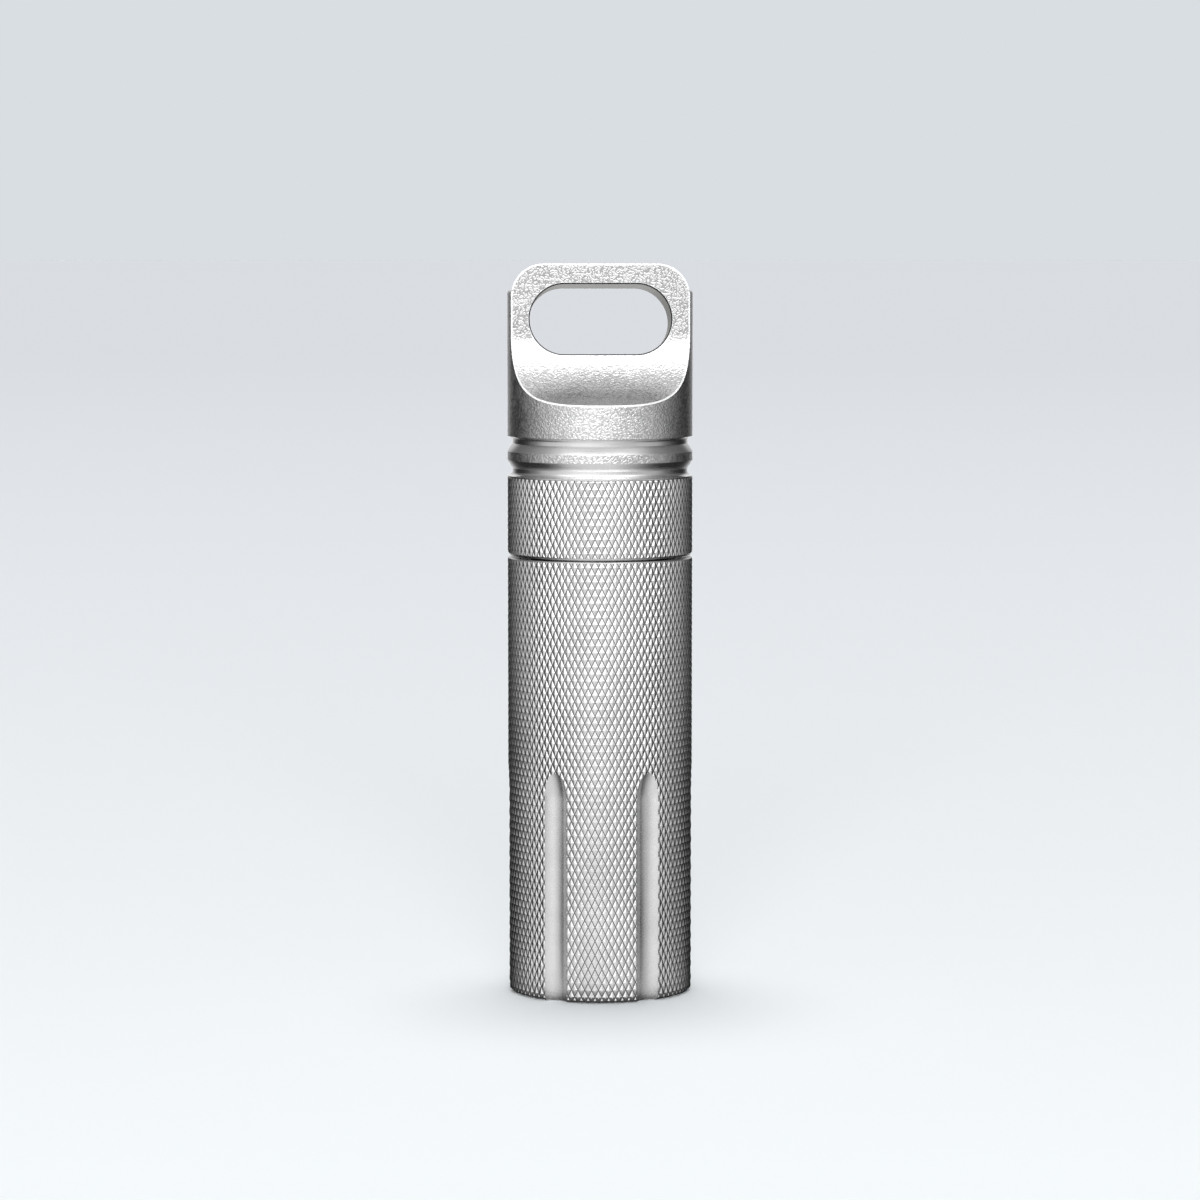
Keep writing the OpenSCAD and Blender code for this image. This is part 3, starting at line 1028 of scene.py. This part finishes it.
# %% [markdown]
# ## The ring on the neck
# A moulded rubber ring is a torus with a thin flash line where the two halves of its mould met. Blender's
# torus is a start: its outermost row is pushed out a little to make that line.

# %% Mould the ring on the neck
RING_T = 1.5 * MM
FLASH = 0.03 * MM
ring_mid_r = ring_high.x - RING_T / 2
ring_z = (ring_low.z + ring_high.z) / 2

bpy.ops.mesh.primitive_torus_add(
    major_radius=ring_mid_r - FLASH,
    minor_radius=RING_T / 2,
    major_segments=192,
    minor_segments=48,
    location=(0, 0, ring_z),
)
neck_ring = bpy.context.object
neck_ring.name = "neck_ring"
bpy.ops.object.transform_apply(location=True)
edit("DESELECT")
bpy.ops.object.mode_set(mode="OBJECT")
for corner in neck_ring.data.vertices:
    corner.select = abs(corner.co.z - ring_z) < MERGE and radius_of(corner.co) > ring_mid_r
bpy.ops.object.mode_set(mode="EDIT")
grow = ring_high.x / (ring_high.x - FLASH)
bpy.ops.transform.resize(value=(grow, grow, 1), center_override=(0, 0, ring_z))
bpy.ops.object.mode_set(mode="OBJECT")
give(neck_ring, nitrile)
tell(neck_ring)

# %% [markdown]
# ## The gasket
# A washer punched from a sheet has nearly sharp edges, a little rounded by the punch. Where the rim of
# the neck presses on it, the rubber has kept a shallow ring. A turned section shows both.

# %% Punch the gasket
GASKET_ROUND = 0.15 * MM
GASKET_SEGMENTS = 160
PRESS_RING = [(0.3, 0), (0.45, 0.04), (0.9, 0.04), (1.05, 0)]

seal_low, seal_high = gasket_low.z + GASKET_ROUND, gasket_high.z - GASKET_ROUND
seal_in, seal_out = BORE_R + GASKET_ROUND, gasket_high.x - GASKET_ROUND
gasket_section = arc(seal_in, seal_low, GASKET_ROUND, 180, 270, 6)
gasket_section += [(BORE_R + out * MM, gasket_low.z + up * MM) for out, up in PRESS_RING]
gasket_section += arc(seal_out, seal_low, GASKET_ROUND, 270, 360, 6)
gasket_section += arc(seal_out, seal_high, GASKET_ROUND, 0, 90, 6)
gasket_section += arc(seal_in, seal_high, GASKET_ROUND, 90, 180, 6)
seal = give(turn_ring("seal_washer", gasket_section, GASKET_SEGMENTS), silicone)
tell(seal)

# %% [markdown]
# ## Smooth shading
# Round walls should look round, while every edge that was cut should stay crisp. Smoothing by angle does
# both: facets that meet at less than the limit are smoothed, and the knurl's diamonds and the chamfers stay
# sharp. Then each piece is hung on the body it moves with, and the CAD node it stands for is hidden.

# %% Smooth by angle and let the pieces ride on the frame
METAL_LIMIT = math.radians(11)
RUBBER_LIMIT = math.radians(28)


def part_finishes(piece):
    """Marks the border of every finish as sharp, so that no shading runs from one cut into the next."""
    pick(piece)
    bpy.ops.object.mode_set(mode="EDIT")
    for index in range(len(piece.material_slots)):
        bpy.ops.mesh.select_mode(type="FACE")
        bpy.ops.mesh.select_all(action="DESELECT")
        piece.active_material_index = index
        bpy.ops.object.material_slot_select()
        bpy.ops.mesh.region_to_loop()
        bpy.ops.mesh.mark_sharp()
    bpy.ops.mesh.select_mode(type="VERT")
    bpy.ops.object.mode_set(mode="OBJECT")


for piece, limit, body_name, node, slot in (
    (body, METAL_LIMIT, "container", "body", "body_metal"),
    (neck_ring, RUBBER_LIMIT, "container", "neck_o_ring", "ring_rubber"),
    (cap, METAL_LIMIT, "screw_cap", "cap", "cap_metal"),
    (seal, RUBBER_LIMIT, "seal_disc", "cap_gasket", "gasket_rubber"),
):
    part_finishes(piece)
    bpy.ops.object.shade_smooth_by_angle(angle=limit)
    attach(piece, body_name)
    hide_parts(node)
    print(f"{piece.name} rides on {body_name} and stands for {node}")

# %% [markdown]
# ## The floor
# The floor is one pale sheet that runs to the horizon, where it meets a world of the same tone. In the
# photograph it grows a little darker and bluer with distance. Its tone follows one over the distance from
# the camera, as height in a picture does. Far out it has the distant tone on every side, so that the
# horizon is as soft in the other views.

# %% Lay the floor
CAMERA_DISTANCE = 539.5 * MM
BACKDROP = (0.693, 0.730, 0.761, 1)
FAR_FLOOR = (0.668, 0.686, 0.717, 1)
NEAR_FLOOR = (0.875, 0.905, 0.918, 1)
FULL_NEARNESS = 2.33
FLOOR_FADE = (0.7, 4.0)

pale, graph, place, x, y, z = new_finish("pale_floor")
distance = y + CAMERA_DISTANCE
nearness = 1 / distance.maths("MAXIMUM", distance, 0.2)
nearness = graph.node("ShaderNodeMapRange", None, {"Value": nearness, 1: 0, 2: FULL_NEARNESS})
reach = (x * x + y * y) ** 0.5
nearness = nearness * (1 - reach.rise(*FLOOR_FADE))
shader = pale.node_tree.nodes["Principled BSDF"]
graph.feed(shader.inputs["Base Color"], graph.blend(nearness, FAR_FLOOR, NEAR_FLOOR))
shader.inputs["Roughness"].default_value = 1.0
shader.inputs["Specular IOR Level"].default_value = 0.0

bpy.ops.mesh.primitive_plane_add(size=400)
floor = bpy.context.object
floor.name = "floor"
give(floor, pale)
print(f"floor {floor.dimensions.x:.0f} m wide")

# %% [markdown]
# ## The camera
# The camera stands a little left of the middle, slightly above the loop and half a metre away. Its lens
# is long, because the ellipses of the joint and the base are shallow in the photograph.

# %% Set up the camera
CAMERA_HEIGHT = 99.4 * MM
CAMERA_AZIMUTH = math.radians(-1.2)
CAMERA_PITCH = math.radians(4.895)
LENS = 119.66

camera_data = bpy.data.cameras.new("camera")
camera_data.sensor_width = 36
camera_data.lens = LENS
camera_data.clip_start = 0.01
camera_data.clip_end = 500
camera = put("camera", camera_data)
camera.location = (
    CAMERA_DISTANCE * math.sin(CAMERA_AZIMUTH),
    -CAMERA_DISTANCE * math.cos(CAMERA_AZIMUTH),
    CAMERA_HEIGHT,
)
camera.rotation_euler = (math.pi / 2 - CAMERA_PITCH, 0, CAMERA_AZIMUTH)
bpy.context.scene.camera = camera
print(f"camera {CAMERA_DISTANCE / MM:.0f} mm away and {CAMERA_HEIGHT / MM:.0f} mm high, lens {LENS} mm")

# %% [markdown]
# ## A paper tent for the reflections
# Bare metal has no colour of its own: it shows what stands round it. A studio therefore puts a tent of
# paper round a metal piece, bright towards the camera and dark at the sides, and the cylinder gets its
# bright middle and dark edges. The tent here is a tall drum with a floor and a roof. Its greys lie in
# three bands: the low wall shows in the straight walls, the high wall in the top of the scoops and the
# bevels, and the floor in surfaces that look down. The low wall's first tones were worked out from mean
# brightnesses along the photograph's head, each turned into the direction it mirrors. Then all the tones
# were changed by trial, as a photographer moves the flags, until the stripes lay where the photograph has
# them. Close to the capsule the floor darkens, as it does under anything that stands on it. Only
# reflections see the tent, so it neither hides the capsule nor shades the floor.

# %% Raise the tent
TENT_R = 700 * MM
TENT_H = 1100 * MM
TENT_SEGMENTS = 96
UNDERFOOT_REACH = (0.08, 0.20)
HIGH_WALL = (0.11, 0.29)
ROOF_EDGE = (0.80, 1.09)
CONTACT_DARK = 0.08
CONTACT_REACH = (0.0125, 0.018)

LOW_TONES = [
    (-180, 0.95), (-163, 0.60), (-149, 0.09), (-138, 0.018), (-116, 0.027), (-98, 0.16),
    (-72, 0.60), (-50, 0.75), (-30, 0.96), (-14, 1.02), (2, 0.89), (20, 0.67),
    (34, 0.53), (56, 0.54), (76, 0.44), (98, 0.12), (116, 0.03), (138, 0.014),
    (149, 0.09), (163, 0.60), (180, 0.95),
]
HIGH_TONES = [
    (-180, 1.10), (-160, 0.80), (-142, 0.12), (-120, 0.18), (-95, 0.35), (-70, 0.64),
    (-50, 1.40), (-28, 2.60), (28, 2.60), (50, 1.20), (70, 0.48), (90, 0.24),
    (120, 0.14), (142, 0.10), (160, 0.80), (180, 1.10),
]
UNDERFOOT_TONES = [
    (-180, 0.60), (-155, 0.30), (-135, 0.020), (-110, 0.008), (-90, 0.019), (-70, 0.20),
    (-50, 0.62), (-24, 0.82), (16, 0.80), (50, 0.46), (70, 0.17), (90, 0.018),
    (110, 0.008), (135, 0.020), (155, 0.30), (180, 0.60),
]
ROOF_TONE = (0.66, 0.66, 0.66, 1)


def tone_ramp(graph, share, tones):
    """A grey that changes round the axis; each tone stands at an angle in degrees from the front."""
    grey = graph.node("ShaderNodeValToRGB", None, {0: share})
    ramp = grey.socket.node.color_ramp
    ramp.interpolation = "EASE"
    while len(ramp.elements) < len(tones):
        ramp.elements.new(1)
    for element, (side, tone) in zip(ramp.elements, tones):
        element.position = side / 360 + 0.5
        element.color = (tone, tone, tone, 1)
    return grey


paper, graph, place, x, y, z = new_finish("tent_paper")
share = x.maths("ARCTAN2", x, 0 - y) / (2 * math.pi) + 0.5
low_tone = tone_ramp(graph, share, LOW_TONES)
high_tone = tone_ramp(graph, share, HIGH_TONES)
underfoot = tone_ramp(graph, share, UNDERFOOT_TONES)
radius = (x * x + y * y) ** 0.5
floor_tone = graph.blend(radius.rise(*UNDERFOOT_REACH), underfoot, low_tone)
wall_tone = graph.blend(z.rise(*HIGH_WALL), floor_tone, high_tone)
tone = graph.blend(z.rise(*ROOF_EDGE), wall_tone, ROOF_TONE)
strength = CONTACT_DARK + (1 - CONTACT_DARK) * radius.rise(*CONTACT_REACH)
glow = graph.node("ShaderNodeEmission", None, {"Color": tone, "Strength": strength})
graph.feed(paper.node_tree.nodes["Material Output"].inputs["Surface"], glow)

tent_floor = 0.1 * MM
tent_section = [(bar_r - MM, tent_floor), (TENT_R, tent_floor), (TENT_R, TENT_H), (MM, TENT_H)]
tent = give(turn("tent", tent_section, TENT_SEGMENTS), paper)
for kind in ("camera", "diffuse", "shadow", "transmission"):
    setattr(tent, f"visible_{kind}", False)
print(f"tent {2 * TENT_R:.1f} m across and {TENT_H:.1f} m high")

# %% [markdown]
# ## The lamps and the world
# Two broad lamps stand far off, one overhead and one behind the camera. They light the floor and the
# rubber, and the overhead one throws the soft shadow round the base. Polished metal doesn't mirror them,
# because the tent is what it mirrors. The world is an even dim dome, and wherever it is seen it has the
# backdrop's tone.

# %% Place the lamps and set the world
def far_lamp(name, power, spread, pitch, turn_z):
    """A distant soft lamp that polished metal doesn't mirror."""
    lamp_data = bpy.data.lights.new(name, "SUN")
    lamp_data.energy = power * math.pi
    lamp_data.angle = math.radians(spread)
    lamp = put(name, lamp_data)
    lamp.rotation_euler = (math.radians(pitch), 0, math.radians(turn_z))
    lamp.visible_glossy = False
    print(f"lamp {name}, strength {lamp_data.energy:.2f}")


far_lamp("overhead", power=0.66, spread=30, pitch=-10, turn_z=0)
far_lamp("front_fill", power=0.75, spread=30, pitch=78, turn_z=-1.2)

DIM_DOME = (0.24, 0.245, 0.25, 1)
world = bpy.data.worlds.new("studio")
bpy.context.scene.world = world
world.use_nodes = True
graph = Graph(world.node_tree)
seen = graph.node("ShaderNodeLightPath", output="Is Camera Ray")
seen = seen + graph.node("ShaderNodeLightPath", output="Is Glossy Ray")
background = world.node_tree.nodes["Background"]
graph.feed(background.inputs["Color"], graph.blend(seen, DIM_DOME, BACKDROP))
background.inputs["Strength"].default_value = 1.0
bpy.context.scene.view_settings.view_transform = "Standard"
